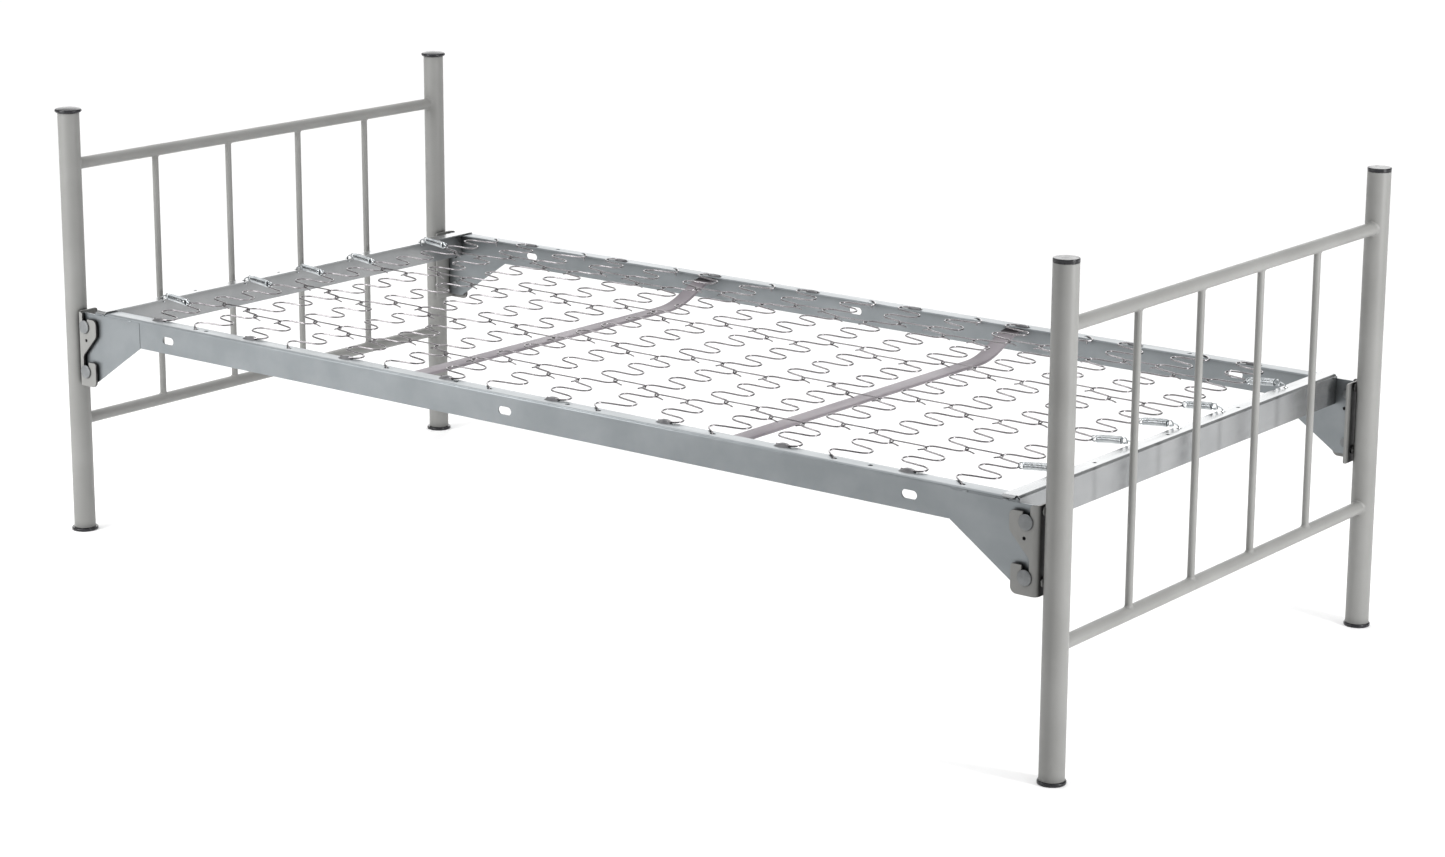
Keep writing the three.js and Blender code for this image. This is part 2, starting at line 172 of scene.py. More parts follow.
def slot_outline(x, y, half_straight, radius, steps=10):
    """A round-ended slot along the first axis."""
    right = arc((x + half_straight, y), radius, -90, 90, steps)
    left = arc((x - half_straight, y), radius, 90, 270, steps)
    return right + left if half_straight else right[:-1] + left[:-1]


def stitch(rings, closed_along=False):
    """Quads between one ring of vertices and the next; a ring of one vertex closes an end."""
    faces = []
    after = rings[1:] + rings[:1] if closed_along else rings[1:]
    for low, high in zip(rings, after):
        count = max(len(low), len(high))
        for i in range(count):
            j = (i + 1) % count
            below = (low[i % len(low)], low[j % len(low)])
            above = (high[j % len(high)], high[i % len(high)])
            faces.append(tuple(dict.fromkeys(below + above)))
    return faces


def shape_of_rings(point_rings, closed_along=False):
    shape, rings = Shape(), []
    for points in point_rings:
        rings.append(range(len(shape.verts), len(shape.verts) + len(points)))
        shape.verts += [Vector(p) for p in points]
    shape.faces = stitch([list(r) for r in rings], closed_along)
    return shape


def lathe(profile, sides=56, closed=False):
    """A profile of (radius, height) turned round Z. A point on the axis is one vertex."""
    rings = []
    for radius, height in profile:
        count = sides if radius > 1e-6 else 1
        turn = [2 * math.pi * i / count for i in range(count)]
        rings.append([(radius * math.cos(a), radius * math.sin(a), height) for a in turn])
    return shape_of_rings(rings, closed)


def wire(points, radius, sides):
    """A round wire along the points, closed at both ends."""
    points = [Vector(p) for p in points]
    ahead = [(b - a).normalized() for a, b in zip(points, points[1:])]
    tangents = [ahead[0]] + [(a + b).normalized() for a, b in zip(ahead, ahead[1:])] + [ahead[-1]]
    across = tangents[0].orthogonal().normalized()
    rings = [[points[0] - tangents[0] * radius * 0.5]]
    for point, tangent in zip(points, tangents):
        across = (across - tangent * across.dot(tangent)).normalized()
        up = tangent.cross(across)
        turn = [2 * math.pi * i / sides for i in range(sides)]
        rings.append([point + radius * (across * math.cos(a) + up * math.sin(a)) for a in turn])
    rings.append([points[-1] + tangents[-1] * radius * 0.5])
    return shape_of_rings(rings)


def signed_area(points):
    return sum(a[0] * b[1] - b[0] * a[1] for a, b in zip(points, points[1:] + points[:1])) / 2


def inset(points, distance):
    """The points of a closed outline, moved to its left by a distance."""
    made = []
    for i, point in enumerate(points):
        here = Vector(point)
        before = (here - Vector(points[i - 1])).normalized()
        after = (Vector(points[(i + 1) % len(points)]) - here).normalized()
        left = Vector((-before.y - after.y, before.x + after.x))
        made.append(here + left * (2 * distance / max(left.length_squared, 0.5)))
    return made


def holds(outline, x, y):
    """Whether a closed outline holds a point."""
    inside = False
    for (ax, ay), (bx, by) in zip(outline, outline[1:] + outline[:1]):
        if (ay > y) != (by > y) and x < (bx - ax) * (y - ay) / (by - ay) + ax:
            inside = not inside
    return inside


def plate(outline, holes=(), thickness=SHEET, edge=EDGE):
    """A flat plate in X and Y, its middle at Z = 0, with rounded edges."""
    loops = [list(outline)] + [list(hole) for hole in holes]
    loops = [p if (signed_area(p) > 0) == (i == 0) else p[::-1] for i, p in enumerate(loops)]
    half = thickness / 2
    sweeps = (0, math.pi / 4, math.pi / 2)
    roll = [(edge * (1 - math.sin(a)), half - edge + edge * math.cos(a)) for a in sweeps]
    levels = [(back, z) for back, z in roll] + [(back, -z) for back, z in reversed(roll)]
    shape, start = Shape(), []
    for back, z in levels:
        start.append(len(shape.verts))
        shape.verts += [Vector((*p, z)) for loop in loops for p in inset(loop, back)]
    base = 0
    for loop in loops:
        for low, high in zip(start, start[1:]):
            ring = range(base, base + len(loop))
            for i, j in zip(ring, [*ring[1:], ring[0]]):
                shape.faces.append((low + i, low + j, high + j, high + i))
        base += len(loop)
    faces = fill(loops, edge)
    shape.faces += faces
    shape.faces += [tuple(start[-1] + i for i in face) for face in faces]
    return shape


def fill(loops, edge):
    """Triangles that fill the first loop and leave the others open, by place among all points."""
    rings = [[tuple(p) for p in inset(loop, edge)] for loop in loops]
    flat = [Vector(p) for ring in rings for p in ring]
    edges, base = [], 0
    for ring in rings:
        edges += [(base + i, base + (i + 1) % len(ring)) for i in range(len(ring))]
        base += len(ring)
    points, _, faces, origin, _, _ = delaunay_2d_cdt(flat, edges, [], 0, 1e-5)
    kept = []
    for face in faces:
        x = sum(points[i].x for i in face) / len(face)
        y = sum(points[i].y for i in face) / len(face)
        if holds(rings[0], x, y) and not any(holds(ring, x, y) for ring in rings[1:]):
            kept.append(tuple(origin[i][0] for i in face))
    return kept


def cut_across(shape, axis, places):
    """The same shape, with an edge wherever it crosses a plane at one of the places on an axis."""
    work = bmesh.new()
    made = [work.verts.new(v) for v in shape.verts]
    for face in shape.faces:
        work.faces.new([made[i] for i in face])
    normal = Vector((axis == 0, axis == 1, axis == 2))
    for at in places:
        parts = work.verts[:] + work.edges[:] + work.faces[:]
        bmesh.ops.bisect_plane(work, geom=parts, dist=1e-4, plane_co=normal * at, plane_no=normal)
    work.verts.index_update()
    faces = [[v.index for v in face.verts] for face in work.faces]
    split = Shape([v.co.copy() for v in work.verts], faces)
    work.free()
    return split


def piece(name, shape, body, material, nodes=()):
    """A Blender object that rides on a body and replaces the CAD nodes it is drawn over."""
    mesh = bpy.data.meshes.new(name)
    mesh.from_pydata([v * MM for v in shape.verts], [], shape.faces)
    tidy = bmesh.new()
    tidy.from_mesh(mesh)
    bmesh.ops.recalc_face_normals(tidy, faces=tidy.faces)
    tidy.to_mesh(mesh)
    tidy.free()
    mesh.shade_smooth()
    mesh.set_sharp_from_angle(angle=SMOOTH_ANGLE)
    mesh.materials.append(material.look)
    made = bpy.data.objects.new(name, mesh)
    bpy.context.scene.collection.objects.link(made)
    made.modifiers.new("flat_faces_stay_flat", "WEIGHTED_NORMAL").keep_sharp = True
    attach(made, body)
    for node in nodes:
        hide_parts(node)
    return made


# ---- Materials ----
class Material:
    """A procedural surface, and the record's material slot that it belongs to."""

    def __init__(self, name, slot):
        self.slot = slot
        self.look = bpy.data.materials.new(name)
        self.look.use_nodes = True
        self.nodes = self.look.node_tree.nodes
        self.links = self.look.node_tree.links
        self.shader = self.nodes["Principled BSDF"]
        self.place = self.nodes.new("ShaderNodeTexCoord").outputs["Object"]

    def set(self, **values):
        for socket, value in values.items():
            self.shader.inputs[socket.replace("_", " ")].default_value = value
        return self

    def noise(self, scale, detail, stretch=(1, 1, 1)):
        """Noise with about the given number of features in a metre."""
        mapping = self.nodes.new("ShaderNodeMapping")
        mapping.inputs["Scale"].default_value = stretch
        self.links.new(self.place, mapping.inputs["Vector"])
        texture = self.nodes.new("ShaderNodeTexNoise")
        texture.inputs["Scale"].default_value = scale
        texture.inputs["Detail"].default_value = detail
        self.links.new(mapping.outputs["Vector"], texture.inputs["Vector"])
        return texture.outputs["Fac"]

    def color(self, source, dark, light):
        """Mottles the surface between a dark and a light tone."""
        spread = 0.12  # of the noise to both sides of its middle
        ramp = self.nodes.new("ShaderNodeValToRGB")
        stops = ((0.5 - spread, dark), (0.5 + spread, light))
        for element, (at, tone) in zip(ramp.color_ramp.elements, stops):
            element.position = at
            element.color = (*tone, 1)
        self.links.new(source, ramp.inputs["Fac"])
        self.links.new(ramp.outputs["Color"], self.shader.inputs["Base Color"])
        return self

    def paint_crevice_shade(self, reach, dark):
        """Painted shade: darkens the colour in crevices narrower than about the given reach in
        millimetres.
        """
        around = self.nodes.new("ShaderNodeAmbientOcclusion")
        around.inputs["Distance"].default_value = reach * MM
        share = self.nodes.new("ShaderNodeMapRange")
        share.inputs["From Min"].default_value = 0.3
        share.inputs["From Max"].default_value = 0.8
        share.inputs["To Min"].default_value = dark
        self.links.new(around.outputs["AO"], share.inputs["Value"])
        mixed = self.nodes.new("ShaderNodeVectorMath")
        mixed.operation = "SCALE"
        base = self.shader.inputs["Base Color"]
        self.links.new(base.links[0].from_socket, mixed.inputs[0])
        self.links.new(share.outputs["Result"], mixed.inputs["Scale"])
        self.links.new(mixed.outputs["Vector"], base)
        return self

    def roughness(self, source, low, high):
        """Varies the roughness from low to high over the usual range of noise."""
        remap = self.nodes.new("ShaderNodeMapRange")
        remap.inputs["From Min"].default_value = 0.35
        remap.inputs["From Max"].default_value = 0.65
        remap.inputs["To Min"].default_value = low
        remap.inputs["To Max"].default_value = high
        self.links.new(source, remap.inputs["Value"])
        self.links.new(remap.outputs["Result"], self.shader.inputs["Roughness"])
        return self

    def bump(self, source, height, strength):
        """Relief of the given height in millimetres. A later call lies over an earlier one."""
        made = self.nodes.new("ShaderNodeBump")
        made.inputs["Distance"].default_value = height * MM
        made.inputs["Strength"].default_value = strength
        self.links.new(source, made.inputs["Height"])
        before = self.shader.inputs["Normal"]
        if before.is_linked:
            self.links.new(before.links[0].from_socket, made.inputs["Normal"])
        self.links.new(made.outputs["Normal"], before)
        return self


def powder_coat():
    """Warm light grey powder coat: satin, with a faint orange-peel."""
    made = Material("powder_coat", "painted_steel").set(Metallic=0.0, Specular_IOR_Level=0.35)
    made.color(made.noise(9, 4), (0.232, 0.232, 0.224), (0.256, 0.256, 0.248))
    # painted shade in the crevices and gaps, such as round the brackets and welds
    made.paint_crevice_shade(32, 0.12)
    made.roughness(made.noise(60, 3), 0.40, 0.48)
    return made.bump(made.noise(420, 2), 0.12, 0.35)


def zinc(name, stretch, dark, light, rough):
    """Zinc plate on rolled sheet, satin, with a faint grain along the rail."""
    made = Material(name, "zinc_steel").set(Metallic=0.7)
    made.color(made.noise(14, 5), dark, light)
    # painted shade in the crevices and under the flanges
    made.paint_crevice_shade(38, 0.2)
    made.roughness(made.noise(70, 4, stretch), rough, rough + 0.08)
    made.bump(made.noise(300, 3, stretch), 0.03, 0.3)
    return made.bump(made.noise(1100, 2), 0.02, 0.3)


def spring_wire():
    """Bright drawn wire, with fine die lines and a slightly mottled tone."""
    made = Material("drawn_wire", "spring_wire").set(Metallic=1.0)
    made.color(made.noise(45, 3), (0.19, 0.18, 0.187), (0.285, 0.272, 0.28))
    made.roughness(made.noise(300, 2), 0.18, 0.28)
    return made.bump(made.noise(1500, 2), 0.02, 0.4)


def clip_steel():
    """Dark lanced clips, rubbed a little brighter here and there."""
    made = Material("lanced_clips", "spring_wire").set(Metallic=0.7)
    made.color(made.noise(80, 4), (0.085, 0.085, 0.09), (0.16, 0.16, 0.165))
    # painted shade in the crevices under the clips
    made.paint_crevice_shade(12, 0.3)
    made.roughness(made.noise(200, 3), 0.34, 0.46)
    return made.bump(made.noise(800, 3), 0.04, 0.4)


def stud_steel():
    """Cold-headed studs, duller than the rails, with faint marks from the heading tool."""
    made = Material("headed_studs", "zinc_steel").set(Metallic=0.5, Specular_IOR_Level=0.35)
    made.color(made.noise(70, 4), (0.175, 0.182, 0.186), (0.215, 0.222, 0.226))
    # painted shade in the gaps round the stud heads
    made.paint_crevice_shade(6, 0.2)
    made.roughness(made.noise(160, 3), 0.42, 0.52)
    return made.bump(made.noise(700, 3), 0.04, 0.4)


def edge_shade_steel():
    """Painted shade: a near-black colour for the hooked plate's cut edges, standing in for the
    shadow in the gap behind the plate.
    """
    made = Material("edge_shade_steel", "painted_steel").set(Metallic=0.3, Specular_IOR_Level=0.3)
    made.color(made.noise(120, 4), (0.028, 0.027, 0.027), (0.075, 0.073, 0.072))
    made.roughness(made.noise(200, 3), 0.5, 0.66)
    return made.bump(made.noise(600, 3), 0.08, 0.5)


def coil_wire():
    """Plated coil wire, brighter than the strands."""
    made = Material("plated_coil_wire", "spring_wire").set(Metallic=1.0)
    made.color(made.noise(90, 3), (0.42, 0.445, 0.46), (0.58, 0.605, 0.62))
    made.roughness(made.noise(400, 2), 0.14, 0.22)
    return made.bump(made.noise(1600, 2), 0.01, 0.3)


def brace_steel():
    """Oiled strap steel with a faint purple tint and rolling marks across the bed."""
    made = Material("oiled_strap", "brace_steel").set(Metallic=0.25, Specular_IOR_Level=0.3)
    made.color(made.noise(10, 5), (0.215, 0.195, 0.212), (0.285, 0.262, 0.28))
    made.roughness(made.noise(40, 4, (1, 0.12, 1)), 0.42, 0.56)
    return made.bump(made.noise(240, 3, (1, 0.06, 1)), 0.05, 0.35)


def black_plastic():
    """Moulded black plastic, glossy, with a slight grain."""
    made = Material("black_plastic", "black_plastic").set(Specular_IOR_Level=0.4)
    made.color(made.noise(60, 3), (0.008, 0.008, 0.010), (0.018, 0.018, 0.021))
    made.roughness(made.noise(90, 3), 0.2, 0.32)
    return made.bump(made.noise(700, 2), 0.03, 0.3)


PAINT = powder_coat()
ZINC_SIDE = zinc(
    "zinc_along_the_bed", (0.05, 1, 1), (0.222, 0.240, 0.250), (0.254, 0.272, 0.283), rough=0.3
)
ZINC_END = zinc(
    "zinc_across_the_bed", (1, 0.05, 1), (0.295, 0.303, 0.308), (0.338, 0.345, 0.349), rough=0.17
)
WIRE_STEEL = spring_wire()
COIL_STEEL = coil_wire()
BRACE = brace_steel()
BLACK = black_plastic()
EDGE_SHADE = edge_shade_steel()
STUD_STEEL = stud_steel()
CLIP_STEEL = clip_steel()


# ---- Bed ends ----
POST_WALL = 1.6
PLUG_RADIUS = 17  # of the caps' and glides' plugs, inside the posts
HEAD_CAP_RADIUS = 23.4


def post_shape(end):
    """The tube; under a foot cap it ends a little lower."""
    soft = 0.6
    top = POST_TOP - (FOOT_CAP_SKIRT if end == "foot" else 0)
    outer, inner = POST_RADIUS, POST_RADIUS - POST_WALL
    profile = [
        (inner, POST_BASE),
        (outer - soft, POST_BASE),
        (outer, POST_BASE + soft),
        (outer, top - soft),
        (outer - soft, top),
        (inner, top),
    ]
    return lathe(profile, 72, closed=True)


def weld_swell(angle, lobes, phase):
    """How the leg of a weld fillet varies round a joint, about 1."""
    broad = 0.13 * math.sin(lobes * angle + phase)
    fine = 0.07 * math.sin((2 * lobes + 3) * angle + 2 * phase)
    return 1 + broad + fine


def saddled_bar(length, radius, ends_radius, weld, sides, phase):
    """A bar along Z that ends on two cylinders lying along Y, with a weld fillet at each end."""
    steps, lobes = 6, 9
    sunk, core = 0.2, 2  # how far the fillet's foot and the bar's end go into the cylinder
    turn = [2 * math.pi * i / sides for i in range(sides)]

    def end_rings(sign):
        rings = []
        for k in range(steps + 1):
            sweep = math.pi / 2 * (1 - k / steps)
            ring = []
            for a in turn:
                leg = weld * weld_swell(a, lobes, phase + sign)
                out = radius + leg * (1 - math.cos(sweep))
                side = out * math.cos(a)
                saddle = math.sqrt(max(ends_radius**2 - side**2, 0))
                reach = saddle + leg * (1 - math.sin(sweep)) - sunk
                ring.append((side, out * math.sin(a), sign * (length / 2 - reach)))
            rings.append(ring)
        return [[(0, 0, sign * (length / 2 - ends_radius + core))]] + rings

    return shape_of_rings(end_rings(-1) + end_rings(1)[::-1])


def crossrail_shape(phase):
    """The tube along Y, from one post to the other."""
    lying = Matrix(((1, 0, 0, 0), (0, 0, 1, 0), (0, -1, 0, 0), (0, 0, 0, 1)))
    bar = saddled_bar(2 * POST_Y, BAR_RADIUS, POST_RADIUS, weld=3.6, sides=64, phase=phase)
    return bar.placed(lying)


def head_cap_shape():
    """A mushroom cap: a thick rolled rim wider than the post, under a dome."""
    base = POST_TOP + 0.2
    rim = 3.2
    plug = [(0, base - 10), (PLUG_RADIUS, base - 10), (PLUG_RADIUS + 0.2, base)]
    roll = arc((HEAD_CAP_RADIUS - rim, base + rim), rim, -90, 62, 12)
    dome = [(20, 6.5), (17, 7.3), (13, 8.1), (8, 8.7), (4, 8.95), (0, 9)]
    return lathe(plug + roll + [(radius, base + rise) for radius, rise in dome])


def foot_cap_shape():
    """A flush cap that comes down over the post's end, its edge rounded and its top almost flat."""
    base = POST_TOP - FOOT_CAP_SKIRT + 0.1
    top = POST_TOP + 4.2
    outer, soft = POST_RADIUS + 0.1, 1.3
    plug = [(0, base - 8), (PLUG_RADIUS, base - 8), (PLUG_RADIUS + 0.2, base)]
    side = [(outer - 0.4, base), (outer, base + 0.5), (outer, top - soft)]
    edge = arc((outer - soft, top - soft), soft, 0, 80, 5)
    face = [(15, top + 0.05), (8, top + 0.1), (0, top + 0.1)]
    return lathe(plug + side + edge + face)


def glide_shape(flange):
    """A flanged glide, rounded under and on top, with a seat for the post and a plug inside it."""
    height, soft, crown = POST_BASE, 1.4, 1.8
    sole = [(0, 0.3), (14, 0.3), (15, 0)]
    under = arc((flange - soft, soft), soft, -90, 0, 5)
    over = arc((flange - crown, height - crown), crown, 0, 80, 5)
    seat = [(POST_RADIUS + 0.4, height - 0.05), (POST_RADIUS - 1, height - 0.1)]
    plug = [(PLUG_RADIUS, height), (PLUG_RADIUS, height + 12), (0, height + 12)]
    return lathe(sole + under + over + seat + plug)


# ---- Corner brackets, gussets and studs ----
# Corner coordinates are the bed's own at the head's front corner, with X from the post's axis.
BRACKET_SHEET = 4
BRACKET_FACE = 484.5  # outer face of the hooked plate, from the middle of the bed
BRACKET_NEAR = 22.5  # the leg's post-side face, from the post's axis
BRACKET_ROUND = 9  # outer radius of its bend
BRACKET_START = BRACKET_NEAR + BRACKET_ROUND  # where the hooked plate begins, beyond the bend
BRACKET_MIDDLE = BRACKET_ROUND - BRACKET_SHEET / 2  # the bend's radius, in the middle of the sheet
BRACKET_BEND = math.pi / 2 * BRACKET_MIDDLE  # the bend's length, unfolded
BRACKET_LEG = 44.5  # reach of the leg, from the plate's outer face
BRACKET_LOW = 273.7
BRACKET_HIGH = 407
BRACKET_FAR = 70.7  # reach of the upper hook, from the post's axis
BRACKET_LOBE = 66.6  # and of the lower one
HOOK_TIP = 395.7  # top of the upper hook
HOOK_HEEL = 369  # and the bottom of its far edge
NOTCH_TOP = 330  # top of the gap above the lower stud
LOBE_TIP = 317.8  # top of the lower hook
STUD_OUT = 42  # a stud's distance from the post's axis
STUD_Z = (300.3, 381.3)
SLOT_RADIUS = 6.1
PIN_OUT = 45  # a small hole through bracket and gusset
PIN_Z = 357
PIN_RADIUS = 2.7
GUSSET_SHEET = 3.2
GUSSET_FACE = 476.9  # let in almost flush with the rail's face
GUSSET_NEAR = 28
GUSSET_FAR = 176
GUSSET_LOW = 281
GUSSET_HIGH = 405


def bracket_outline():
    """The bracket unfolded: first coordinate up, second from the bend towards the hooks."""
    near = STUD_OUT - SLOT_RADIUS - BRACKET_START
    far = STUD_OUT + SLOT_RADIUS - BRACKET_START
    stud = STUD_OUT - BRACKET_START
    lobe, tip = BRACKET_LOBE - BRACKET_START, BRACKET_FAR - BRACKET_START
    leg_edge = -(BRACKET_BEND + BRACKET_LEG - BRACKET_ROUND)
    corner, soft = 10, 4
    low, high = BRACKET_LOW, BRACKET_HIGH
    outline = [(low, leg_edge + soft), (low, lobe - corner)]
    outline += arc((low + corner, lobe - corner), corner, 180, 90, 8)[1:]
    outline += [(LOBE_TIP - soft, lobe)] + arc((LOBE_TIP - soft, lobe - soft), soft, 90, 0, 4)[1:]
    outline += [(LOBE_TIP, far + 1), (LOBE_TIP - 1, far), (STUD_Z[0], far)]
    outline += arc((STUD_Z[0], stud), SLOT_RADIUS, 90, 270, 10)[1:]
    outline += [(NOTCH_TOP - 4, near), (NOTCH_TOP, near + 1.5)]
    outline += [(HOOK_HEEL - 7, tip - 3.5), (HOOK_HEEL - 2.5, tip - 0.8), (HOOK_HEEL + 2, tip)]
    outline += [(HOOK_TIP - 8, tip)] + arc((HOOK_TIP - 8, tip - 8), 8, 90, 0, 6)[1:]
    outline += [(HOOK_TIP, far + 1), (HOOK_TIP - 1, far), (STUD_Z[1], far)]
    outline += arc((STUD_Z[1], stud), SLOT_RADIUS, 90, 270, 10)[1:]
    outline += [(high - 3, near), (high, near - 3), (high, leg_edge + soft)]
    outline += arc((high - soft, leg_edge + soft), soft, 0, -90, 4)[1:]
    outline += arc((low + soft, leg_edge + soft), soft, -90, -180, 4)[:-1]
    return outline


def fold_bracket(point):
    """A point of the unfolded bracket, in corner coordinates."""
    up, along, out = point
    if along >= 0:
        return Vector((BRACKET_START + along, -BRACKET_FACE + BRACKET_SHEET / 2 - out, up))
    centre = -BRACKET_FACE + BRACKET_ROUND
    if along > -BRACKET_BEND:
        turn = -along / BRACKET_MIDDLE
        reach = BRACKET_MIDDLE + out
        x = BRACKET_START - reach * math.sin(turn)
        return Vector((x, centre - reach * math.cos(turn), up))
    return Vector((BRACKET_NEAR + BRACKET_SHEET / 2 - out, centre - BRACKET_BEND - along, up))


def bracket_shape():
    """A hooked plate and a leg, folded from one sheet, in corner coordinates."""
    steps = 8
    lines = [-BRACKET_BEND * k / steps for k in range(steps + 1)]
    pin = slot_outline(PIN_Z, PIN_OUT - BRACKET_START, 0, PIN_RADIUS, 8)
    flat = plate(bracket_outline(), [pin], BRACKET_SHEET, edge=0.6)
    return cut_across(flat, 1, lines).placed(fold_bracket)


def paint_edge_shade(mesh):
    """Gives the cut edges of the hooked plate, whose faces lie square to Y, the painted shade of
    the gap behind them.
    """
    mesh.materials.append(EDGE_SHADE.look)
    inner = (BRACKET_FACE - BRACKET_SHEET) * MM
    for face in mesh.polygons:
        if abs(face.center.y) > inner and abs(face.normal.y) < 0.5:
            face.material_index = 1


def weld_bead(width, depth, height, phase):
    """A lumpy drop of weld metal."""
    rows, sides = 9, 18
    rings = []
    for k in range(rows):
        sweep = math.pi * k / (rows - 1) - math.pi / 2
        count = sides if 0 < k < rows - 1 else 1
        ring = []
        for i in range(count):
            a = 2 * math.pi * i / sides
            swell = 1 + 0.12 * math.sin(3 * a + phase) * math.cos(sweep)
            swell += 0.08 * math.sin(5 * sweep + phase)
            ring.append((
                width * swell * math.cos(a) * math.cos(sweep),
                depth * swell * math.sin(a) * math.cos(sweep),
                height * math.sin(sweep),
            ))
        rings.append(ring)
    return shape_of_rings(rings)


def bracket_welds():
    """Beads between the bracket's leg and the post."""
    beads = Shape()
    for i, z in enumerate((294, 398)):
        for side in (-1, 1):
            bead = weld_bead(3.4, 4.2, 6.5, i * 2.1 + side)
            beads.add(bead.placed(moved(POST_RADIUS + 0.9, -POST_Y + side * 5.5, z)))
    return beads


def gusset_shape():
    """A flat plate under a side rail's end, its lower edge slanting up to the rail."""
    soft, straight = 3, 32
    outline = [(GUSSET_NEAR + soft, GUSSET_LOW), (GUSSET_NEAR + straight, GUSSET_LOW)]
    outline += [(GUSSET_FAR, DECK_TOP - ANGLE_DEPTH), (GUSSET_FAR, GUSSET_HIGH)]
    outline += [(GUSSET_NEAR + soft, GUSSET_HIGH), (GUSSET_NEAR, GUSSET_HIGH - soft)]
    outline += [(GUSSET_NEAR, GUSSET_LOW + soft)]
    pin = slot_outline(PIN_OUT, PIN_Z, 0, PIN_RADIUS, 8)
    flat = plate(outline, [pin], GUSSET_SHEET, edge=0.7)
    middle = -GUSSET_FACE + GUSSET_SHEET / 2
    upright = Matrix(((1, 0, 0, 0), (0, 0, 1, middle), (0, 1, 0, 0), (0, 0, 0, 1)))
    return flat.placed(upright)


def gusset_welds():
    """Small weld nuggets where the gusset's upper edge meets the rolled corner of the rail."""
    beads = Shape()
    for i, out in enumerate((82, 150)):
        bead = weld_bead(4.6, 1.1, 1.9, i * 1.3)
        beads.add(bead.placed(moved(out, -SIDE_FACE - 0.7, GUSSET_HIGH + 0.4)))
    return beads


def stud_shape(z):
    """A stud with a low domed head outside the bracket and a riveted tail inside the rail."""
    head = BRACKET_FACE + 0.5
    tail = SIDE_FACE - SHEET
    shank = 5.6
    profile = [(0, tail - 2.2), (5, tail - 2.1), (7.2, tail - 1.2), (7.6, tail)]
    profile += [(shank, tail), (shank, head)]
    profile += [(11.2, head), (11.8, head + 0.7), (11.8, head + 1.7), (11.3, head + 2.5)]
    profile += [(10, head + 2.9), (6, head + 3.1), (0, head + 3.2)]
    return lathe(profile, 40).placed(moved(STUD_OUT, 0, z) @ turned(90, "X"))


def to_corner(end, side):
    """From corner coordinates to the bed's, at the given corner."""
    return moved(END_X[end], 0, 0) @ scaled(-ENDS[end], -SIDES[side], 1)


def build_bed_end(end):
    body = f"{end}_end"
    x = END_X[end]
    for side, sign in SIDES.items():
        at_post = moved(x, sign * POST_Y)
        post = post_shape(end).placed(at_post)
        piece(f"{end}_post_tube_{side}", post, body, PAINT, [f"{end}_post_{side}"])
        bracket = bracket_shape().add(bracket_welds()).placed(to_corner(end, side))
        made = piece(f"{end}_hook_bracket_{side}", bracket, body, PAINT, [f"{end}_bracket_{side}"])
        # painted shade on the hooked plate's cut edges
        paint_edge_shade(made.data)
        cap = (head_cap_shape() if end == "head" else foot_cap_shape()).placed(at_post)
        piece(f"{end}_post_cap_{side}", cap, body, BLACK, [f"{end}_cap_{side}"])
        low, high = cad(f"{end}_glide_{side}")
        glide = glide_shape((high.x - low.x) / 2).placed(at_post)
        piece(f"{end}_floor_glide_{side}", glide, body, BLACK, [f"{end}_glide_{side}"])
    for k, level in enumerate(("top", "low")):
        low, high = cad(f"{end}_{level}_crossrail")
        rail = crossrail_shape(k + x).placed(moved(x, 0, (low.z + high.z) / 2))
        piece(f"{end}_{level}_rail_tube", rail, body, PAINT, [f"{end}_{level}_crossrail"])
    for i in range(1, 5):
        low, high = cad(f"{end}_spindle_{i}")
        length = high.z - low.z + 2 * RAIL_RADIUS
        bar = saddled_bar(length, ROD_RADIUS, BAR_RADIUS, weld=3.4, sides=32, phase=i * 1.7 + x)
        middle = moved(x, (low.y + high.y) / 2, (low.z + high.z) / 2)
        piece(f"{end}_spindle_bar_{i}", bar.placed(middle), body, PAINT, [f"{end}_spindle_{i}"])


# ---- The deck's angles ----
def angle_fold(top, face):
    """How to fold a strip into an angle: the upright leg below 0, then the bend, then the flange.

    The strip's first coordinate runs along the rail, the second across it. The rail comes out along
    X, its upright leg facing -Y at the distance face from the middle of the bed. The second result
    is the bend's length across the strip.
    """
    middle = BEND - SHEET / 2
    bend = math.pi / 2 * middle

    def place(point):
        along, across, out = point
        if across <= 0:
            return Vector((along, -face + SHEET / 2 - out, top - BEND + across))
        if across < bend:
            turn = across / middle
            reach = middle + out
            y = -face + BEND - reach * math.cos(turn)
            return Vector((along, y, top - BEND + reach * math.sin(turn)))
        return Vector((along, -face + BEND + across - bend, top - SHEET / 2 + out))

    return place, bend


def strand_x(i):
    """X of a strand's middle line."""
    return MIDDLE_X + (i - (STRANDS - 1) / 2) * STRAND_PITCH


def strand_places(strands, from_middle):
    """X of a detail of the given strands; every other strand is turned half round."""
    return [strand_x(i) + (from_middle if i % 2 else -from_middle) for i in strands]


def strand_hooks(side):
    """X of the holes in a side rail that strands hook into."""
    return strand_places(range(1 if side == "front" else 0, STRANDS, 2), HOOK.x)


def strand_clips(side):
    """X of the clips on a side rail."""
    return strand_places(range(0 if side == "front" else 1, STRANDS, 2), CLIP.x)


